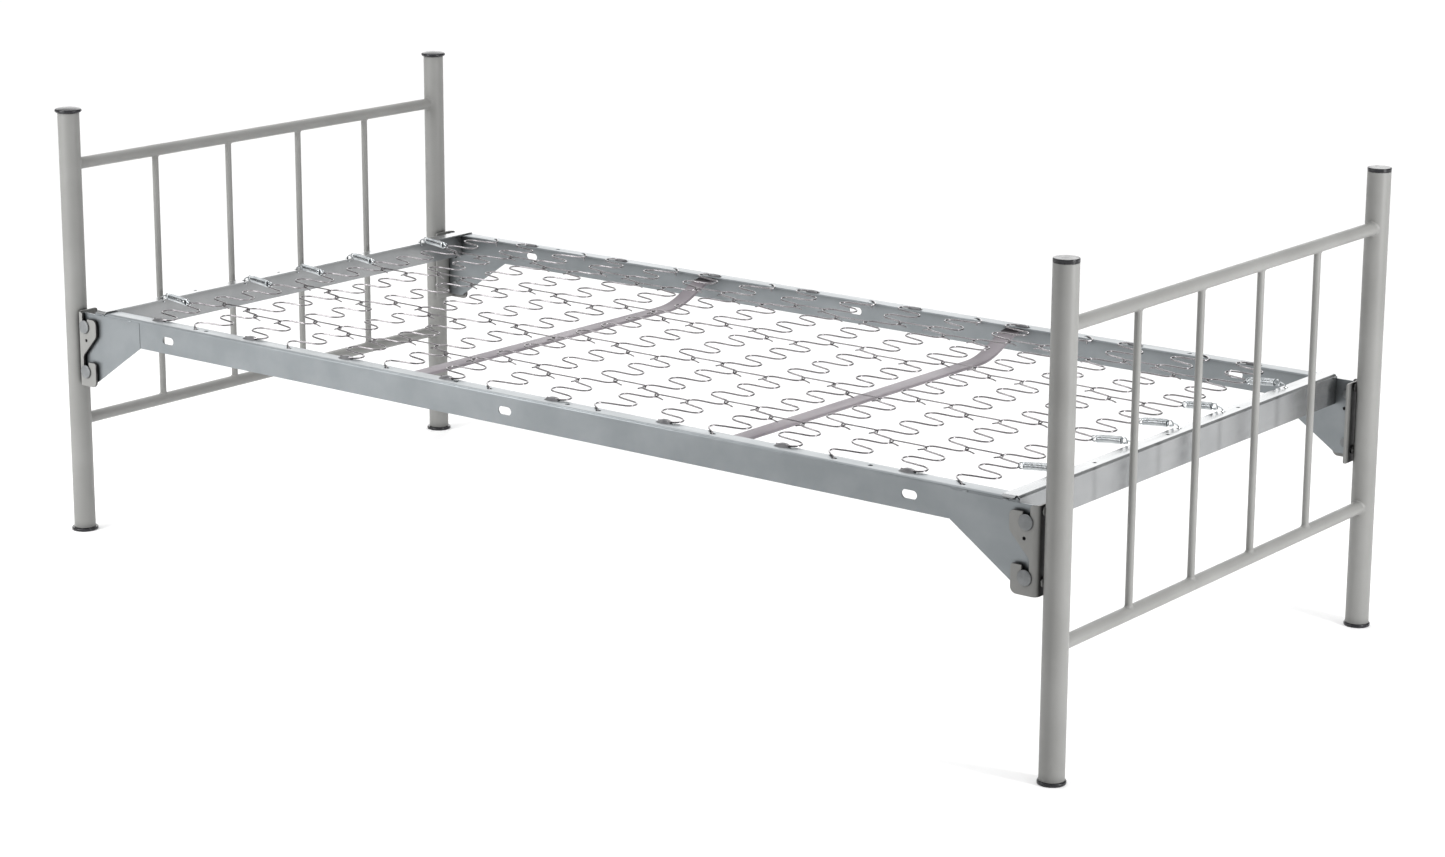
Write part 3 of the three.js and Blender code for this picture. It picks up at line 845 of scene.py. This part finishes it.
def side_rail_shape(side):
    """Along X; its flange stops short of the end rails' upright legs."""
    place, bend = angle_fold(DECK_TOP, SIDE_FACE)
    half = END_FACE
    low, edge = BEND - ANGLE_DEPTH, bend + ANGLE_FLANGE - BEND
    notch = half - SHEET - 0.3
    steps = 6
    lines = [bend * k / steps for k in range(steps + 1)]
    step = bend / 2
    outline = [(-half, low), (half, low), (half, step), (notch, step)]
    outline += [(notch, edge), (-notch, edge), (-notch, step), (-half, step)]
    holes = [slot_outline(x, BEND - OVAL_DROP, OVAL_STRAIGHT, OVAL_RADIUS) for x in OVAL_X]
    holes += [slot_outline(x, bend + SPARE_INSET - BEND, 0, SPARE_RADIUS) for x in SPARE_X]
    hook_across = bend + SIDE_FACE + HOOK.y - BEND
    holes += [slot_outline(x - MIDDLE_X, hook_across, 1.5, 3.4, 6) for x in strand_hooks(side)]
    return cut_across(plate(outline, holes), 1, lines).placed(place)


def end_rail_shape():
    """Along Y; its flange's ends fold down over the side rails' rolled corners."""
    top = DECK_TOP + LAP
    place, bend = angle_fold(top, END_FACE)
    corner = SIDE_FACE - BEND  # where a side rail's corner begins to roll
    ear_radius = top - SHEET / 2 - (DECK_TOP - BEND)
    ear = ear_radius * math.radians(68)
    half = SIDE_FACE - SHEET - 0.3
    low, edge = BEND - ANGLE_DEPTH, bend + ANGLE_FLANGE - BEND
    soft = 2.5
    steps = 6
    lines = [bend * k / steps for k in range(steps + 1)]
    inner, tip = bend + 2, corner + ear
    right = [(half, low), (half, -3), (corner, 0), (corner, inner), (tip - soft, inner)]
    right += [(tip, inner + soft), (tip, edge - soft), (tip - soft, edge)]
    outline = right + [(-u, v) for u, v in reversed(right)]
    holes = [slot_outline(row * BAR_PITCH, edge - HOLE_INSET, 1.2, 3.2, 6) for row in COIL_ROWS]
    holes += [slot_outline(y, bend + 10, 0, 3) for y in END_SPARE_Y]
    flat = cut_across(plate(outline, holes), 1, lines)
    ear_lines = [side * (corner + ear * k / steps) for k in range(steps) for side in (-1, 1)]

    def fold(point):
        """Folds the strip, then rolls the flange's ends down."""
        along, y, z = place(point)
        past = abs(along) - corner
        if past <= 0 or point.y < bend:
            return Vector((along, y, z))
        turn = past / ear_radius
        reach = z - (DECK_TOP - BEND)
        out = math.copysign(corner + reach * math.sin(turn), along)
        return Vector((out, y, DECK_TOP - BEND + reach * math.cos(turn)))

    return cut_across(flat, 0, ear_lines).placed(fold)


def brace_shape():
    """A strap with turned-down edges that dips under the springs and rises to both side rails."""
    low, rise = DECK_TOP - 46, 36
    start = 335  # where the strap begins to rise, from the middle of the bed
    reach = SIDE_FACE - SHEET - 0.4
    steps = 60

    def height(y):
        return low + rise * ease(clamp((abs(y) - start) / (reach - start))) ** 1.5

    section = [(-16, -5.2), (-16.2, -3.2), (-15.2, -1.2), (-13, -0.2), (-9, 0), (0, 0.25)]
    section += [(-x, z) for x, z in reversed(section[:-1])]
    under = [(x * 0.84, z - 2.2) for x, z in reversed(section)]
    under[0], under[-1] = (14.2, -5.4), (-14.2, -5.4)
    ys = [-reach, -reach + 1] + [reach * (k / steps) for k in range(1 - steps, steps)]
    ys += [reach - 1, reach]
    rings = []
    for y in ys:
        slope = (height(y + 1) - height(y - 1)) / 2
        lean = Vector((0, -slope, 1)).normalized()
        rings.append([Vector((x, y, height(y))) + lean * z for x, z in section + under])
    first = sum(rings[0], Vector()) / len(rings[0])
    last = sum(rings[-1], Vector()) / len(rings[-1])
    return shape_of_rings([[first]] + rings + [[last]])


# ---- Springs ----
def meander():
    """Centre line of a strand in X and Y, from its hook at the front to its clip at the back."""
    slant = math.radians(8)
    # Half a bar's length and the turns' radius, for turns that reach WAVE and bars BAR_PITCH apart.
    c, s = math.cos(slant), math.sin(slant)
    grow = (1 - s) / (2 * c)
    half = (WAVE - BAR_PITCH * grow) / (c - 2 * s * grow)
    radius = (BAR_PITCH - 2 * half * s) / (2 * c)
    points = []
    for bar in range(BARS):
        y = (bar - (BARS - 1) / 2) * BAR_PITCH
        way = -1 if bar % 2 else 1
        points += [(-way * half * c, y - half * s), (way * half * c, y + half * s)]
        if bar < BARS - 1:
            centre = (way * (half * c - radius * s), y + half * s + radius * c)
            sweep = arc(centre, radius, -90 + math.degrees(slant), 90 - math.degrees(slant), 11)
            points += [(way * (x - centre[0]) + centre[0], v) for x, v in sweep[1:-1]]
    return points


def strand_path():
    """The wire: down through the front flange, the meander, and the end under the back clip."""
    front, back = HOOK.x, CLIP.x
    path = [
        Vector((front + 2.5, HOOK.y - 4, WIRE_Z - 16)),
        Vector((front + 1.5, HOOK.y - 1.5, WIRE_Z - 9)),
        Vector((front - 0.5, HOOK.y + 0.5, WIRE_Z - 3.5)),
        Vector((front - 4, HOOK.y + 3.5, WIRE_Z - 0.6)),
    ]
    turn_in = [(-11, -453), (-20, -445), (-26.5, -437.5), (-28.5, -430.5), (-27, -424)]
    path += [Vector((front + x, y, WIRE_Z)) for x, y in turn_in]
    for x, y in meander():
        # The last turns lean over towards the hook and the clip.
        lean = (front + 2) if y < 0 else (back + 16)
        path.append(Vector((x + lean * ease(clamp((abs(y) - 320) / 110)), y, WIRE_Z)))
    turn_out = [(-8, 423), (-17, 428), (-22.5, 434), (-24.5, 441), (-22.5, 448), (-17, 452.5)]
    turn_out += [(-8, 454), (6, 454), (12, 453)]
    path += [Vector((back + x, y, WIRE_Z + 0.3)) for x, y in turn_out]
    return path


def strand_shape(roll):
    """A strand as its own wire, rolled a little about its length, except at its ends."""
    tilt = math.tan(math.radians(roll))
    path = strand_path()
    for point in path:
        point.z -= tilt * point.x * clamp((430 - abs(point.y)) / 60)
    return wire(smooth(path), WIRE, 10)


def smooth(path):
    """The path with its corners eased; its ends stay."""
    eased = [(a + b * 6 + c) / 8 for a, b, c in zip(path, path[1:], path[2:])]
    return [path[0]] + eased + [path[-1]]


def clip_shape():
    """A low louvre raised from the flange over the wire, its lip curled down towards the bed."""
    profile = [(-9, 0.1), (-7, 1.2), (-3.5, 3.2), (0, 4.3), (3.5, 4.6), (6, 4.2), (7.6, 3.1)]
    profile += [(8.1, 1.6), (7.9, 0.3), (7.1, 0.3), (7.2, 1.6), (6.6, 2.8), (5.4, 3.5)]
    profile += [(3.5, 3.8), (0, 3.5), (-3.5, 2.3), (-7, 0.3)]
    half = [(-13, 0.1), (-12.2, 0.3), (-9.5, 0.66), (-5, 0.93)]
    rings = []
    for x, share in half + [(0, 1)] + [(-x, share) for x, share in reversed(half)]:
        narrow = 0.5 + 0.5 * share
        rings.append([Vector((x, (y + 1) * narrow - 1, z * share)) for y, z in profile])
    ends = [[sum(ring, Vector()) / len(ring)] for ring in (rings[0], rings[-1])]
    return shape_of_rings([ends[0]] + rings + [ends[1]])


def link_shape(x0, x1, y, drop):
    """A link wire laid across two strands' turns and wrapped round each, with a tail under it."""
    over = WIRE + LINK
    wrap = arc((x1, 0), over, 90, -115, 10)
    tip_x, tip_z = wrap[-1]
    right = [(x1 - 9, over + 0.1)] + wrap + [(tip_x - 5, tip_z - 0.6), (tip_x - 12, tip_z - 2.6)]
    middle = (x0 + x1) / 2
    left = [(2 * middle - x, z) for x, z in reversed(right)]
    path = [Vector((x, y + drop * (x - middle) / 12, WIRE_Z + z)) for x, z in left + right]
    return wire(path, LINK, 7)


def coil_shape():
    """A close-wound spring along X, ringed round the strand's turn and hooked into the end rail."""
    radius, thick = 5.2, 1.05  # of the coil, and of its wire
    turns, steps = 20, 14
    pitch = 2 * thick + 0.03
    start = WAVE + 8.9
    end = start + pitch * turns
    eye = 4.7

    def ring(middle, y, first, step):
        """Wire round an eye in X and Z, from the first angle on by steps in degrees."""
        turn = [math.radians(first + step * k) for k in range(15)]
        return [Vector((middle + eye * math.cos(a), y, COIL_Z + eye * math.sin(a))) for a in turn]

    path = ring(start - eye - 0.3, 0.3, 215, 26)
    for k in range(turns * steps + 1):
        a = 2 * math.pi * k / steps
        bow = 0.5 * math.sin(math.pi * k / (turns * steps))
        z = COIL_Z + bow + radius * math.cos(a)
        path.append(Vector((start + pitch * k / steps, radius * math.sin(a), z)))
    path += ring(end + eye + 0.6, -0.3, 150, -26)
    near, far = end + 7.2, HOOK_HOLE
    tie = [
        (near - 2.2, -2.6), (near - 0.4, -3.4), (near + 1.6, -1.4), (near + 1.4, 1.4),
        (near + 4, 2.6), (far - 4, 3.4), (far - 1, 2.4), (far + 0.2, -0.4),
        (far + 0.2, -4.5), (far - 1.4, -7.2), (far - 5, -8.0),
    ]
    hook = wire([Vector((x, 0.2, COIL_Z + z)) for x, z in tie], 1.15, 8)
    length = near - WAVE

    def tilted(point):
        """Lifts the coil's outer end; the hook comes down again to its hole."""
        rise = COIL_RISE * clamp((point.x - WAVE) / length)
        slack = clamp((point.x - near) / (far - near))
        return point + Vector((0, 0, rise * (1 - slack)))

    return wire(path, thick, 8).add(hook).placed(tilted)


def build_deck():
    body = "spring_deck"
    centre = moved(MIDDLE_X)
    for side, sign in SIDES.items():
        rail = side_rail_shape(side).placed(centre @ scaled(1, -sign, 1))
        for end in ENDS:
            rail.add(gusset_shape().add(gusset_welds()).placed(to_corner(end, side)))
            studs = stud_shape(STUD_Z[0]).add(stud_shape(STUD_Z[1])).placed(to_corner(end, side))
            piece(f"hook_studs_{end}_{side}", studs, body, STUD_STEEL)
        piece(f"side_angle_{side}", rail, body, ZINC_SIDE, [f"side_rail_{side}"])
        clips = Shape()
        for x in strand_clips(side):
            clips.add(clip_shape().placed(moved(x, sign * CLIP.y, DECK_TOP) @ scaled(1, -sign, 1)))
        piece(f"strand_clips_{side}", clips, body, CLIP_STEEL)
    for end, sign in ENDS.items():
        rail = end_rail_shape().placed(centre @ scaled(sign, 1, 1) @ turned(90, "Z"))
        piece(f"end_angle_{end}", rail, body, ZINC_END, [f"end_rail_{end}"])
        low, high = cad(f"cross_brace_{end}")
        strap = brace_shape().placed(moved((low.x + high.x) / 2))
        piece(f"cross_strap_{end}", strap, body, BRACE, [f"cross_brace_{end}"])
    build_springs(body)


def build_springs(body):
    for i in range(STRANDS):
        sign = 1 if i % 2 else -1
        roll = sign * 2.6 + DRAW.uniform(-0.8, 0.8)
        place = moved(strand_x(i)) @ turned(0 if i % 2 else 180, "Z")
        strand, number = strand_shape(roll).placed(place), f"{i + 1:02d}"
        piece(f"sinuous_wire_{number}", strand, body, WIRE_STEEL, [f"spring_strand_{number}"])
    for i in range(STRANDS - 1):
        left, right = strand_x(i) + WAVE, strand_x(i + 1) - WAVE
        links = Shape()
        for row in (-10, -4, 4, 10) if i % 2 else (-9, -3, 3, 9):
            y = row * BAR_PITCH + DRAW.uniform(-0.8, 0.8)
            links.add(link_shape(left, right, y, DRAW.uniform(-0.2, 0.2)))
        piece(f"link_wires_{i + 1:02d}", links, body, WIRE_STEEL)
    for end, sign in ENDS.items():
        for k, row in enumerate(COIL_ROWS):
            spin = moved(0, 0, COIL_Z) @ turned(DRAW.uniform(-9, 9), "X") @ moved(0, 0, -COIL_Z)
            place = moved(MIDDLE_X + sign * LAST_STRAND, row * BAR_PITCH) @ scaled(sign, 1, 1)
            coil, number = coil_shape().placed(place @ spin), f"{end}_{k + 1}"
            piece(f"end_coil_{number}", coil, body, COIL_STEEL, [f"coil_spring_{number}"])


# ---- Floor, lights and camera, in metres ----
FLOOR_HALF = 60
# Each lamp's name, place, target, width and height, power in watts, and spread in degrees.
LAMPS = (
    ("left_softbox", (-1.5, -2.3, 1.0), (-1.1, -0.4, 0.4), (1.0, 1.4), 11, 90),
    ("right_softbox", (4.0, 0.0, 0.9), (0.9, 0, 0.4), (0.6, 0.6), 23, 90),
    ("top_lamp", (-1.6, -0.9, 2.4), (0, -0.2, 0.4), (0.5, 0.5), 9, 180),
)
# Each patch's direction, the cosines at its edge and where it is full, and its strength.
SKY_PATCHES = (
    ((0, 0, 1), 0.5, 0.9, 1.66),
    ((-0.6, 0.79, 0.3), 0.87, 0.98, 2.1),
    ((-0.9, -0.55, 0.1), 0.7, 0.97, 0.5),
    ((0.5, -1, 0.1), 0.1, 0.8, -0.13),  # darker in front of the foot end
)
SKY_LEVEL = 0.15  # strength of the surroundings outside the patches
CAMERA_PLACE = (3.3124, -4.1592, 1.6342)
CAMERA_AZIMUTH = 37.97  # degrees from the front side, round towards the foot end
CAMERA_ELEVATION = 12.96
CAMERA_ROLL = 0.26
CAMERA_LENS = 80.26
CAMERA_SENSOR = 36
CAMERA_SHIFT = -0.06


def build_floor():
    mesh = bpy.data.meshes.new("floor")
    corners = [(-1, -1), (1, -1), (1, 1), (-1, 1)]
    mesh.from_pydata([(x * FLOOR_HALF, y * FLOOR_HALF, 0) for x, y in corners], [], [(0, 1, 2, 3)])
    floor = bpy.data.objects.new("floor", mesh)
    bpy.context.scene.collection.objects.link(floor)
    look = bpy.data.materials.new("pale_floor")
    look.use_nodes = True
    shader = look.node_tree.nodes["Principled BSDF"]
    shader.inputs["Base Color"].default_value = (0.97, 0.97, 0.97, 1)
    shader.inputs["Roughness"].default_value = 0.9
    shader.inputs["Specular IOR Level"].default_value = 0.1
    mesh.materials.append(look)


def area_light(name, place, target, size, power, spread):
    """A softbox of the given width and height in metres, power in watts, and spread in degrees."""
    data = bpy.data.lights.new(name, "AREA")
    data.shape = "RECTANGLE"
    data.size, data.size_y = size
    data.energy = power
    data.spread = math.radians(spread)
    made = bpy.data.objects.new(name, data)
    made.location = place
    made.rotation_mode = "QUATERNION"
    made.rotation_quaternion = (Vector(target) - Vector(place)).to_track_quat("-Z", "Y")
    made.visible_camera = False
    bpy.context.scene.collection.objects.link(made)


def sky_patch(nodes, links, toward, start, full, strength):
    """What a patch of the surroundings adds: all of it toward its middle, none past its edge."""
    dot = nodes.new("ShaderNodeVectorMath")
    dot.operation = "DOT_PRODUCT"
    dot.inputs[1].default_value = Vector(toward).normalized()
    links.new(nodes.new("ShaderNodeTexCoord").outputs["Generated"], dot.inputs[0])
    patch = nodes.new("ShaderNodeMapRange")
    patch.interpolation_type = "SMOOTHSTEP"
    patch.inputs["From Min"].default_value = start
    patch.inputs["From Max"].default_value = full
    patch.inputs["To Max"].default_value = strength
    links.new(dot.outputs["Value"], patch.inputs["Value"])
    return patch.outputs["Result"]


def build_light():
    for lamp in LAMPS:
        area_light(*lamp)
    world = bpy.data.worlds.new("studio")
    bpy.context.scene.world = world
    world.use_nodes = True
    nodes, links = world.node_tree.nodes, world.node_tree.links
    sky = nodes["Background"]
    total = None
    for patch in SKY_PATCHES:
        add = nodes.new("ShaderNodeMath")
        add.inputs[0].default_value = SKY_LEVEL
        if total:
            links.new(total, add.inputs[0])
        links.new(sky_patch(nodes, links, *patch), add.inputs[1])
        total = add.outputs[0]
    sky.inputs["Color"].default_value = (1, 1, 1, 1)
    links.new(total, sky.inputs["Strength"])


def build_camera():
    """In front of the bed, off its foot end, looking slightly down."""
    azimuth, elevation = math.radians(CAMERA_AZIMUTH), math.radians(CAMERA_ELEVATION)
    roll = math.radians(CAMERA_ROLL)
    flat = math.cos(elevation)
    back = Vector((math.sin(azimuth) * flat, -math.cos(azimuth) * flat, math.sin(elevation)))
    level = (-back).cross(Vector((0, 0, 1))).normalized()
    upright = back.cross(level)
    right = math.cos(roll) * level + math.sin(roll) * upright
    up = back.cross(right)
    data = bpy.data.cameras.new("camera")
    data.sensor_width = CAMERA_SENSOR
    data.lens = CAMERA_LENS
    data.shift_y = CAMERA_SHIFT
    camera = bpy.data.objects.new("camera", data)
    facing = Matrix((right, up, back)).transposed().to_4x4()
    camera.matrix_world = Matrix.Translation(CAMERA_PLACE) @ facing
    bpy.context.scene.collection.objects.link(camera)
    bpy.context.scene.camera = camera


for end_name in ENDS:
    build_bed_end(end_name)
build_deck()
build_floor()
build_light()
build_camera()
bpy.context.scene.view_settings.view_transform = "Standard"
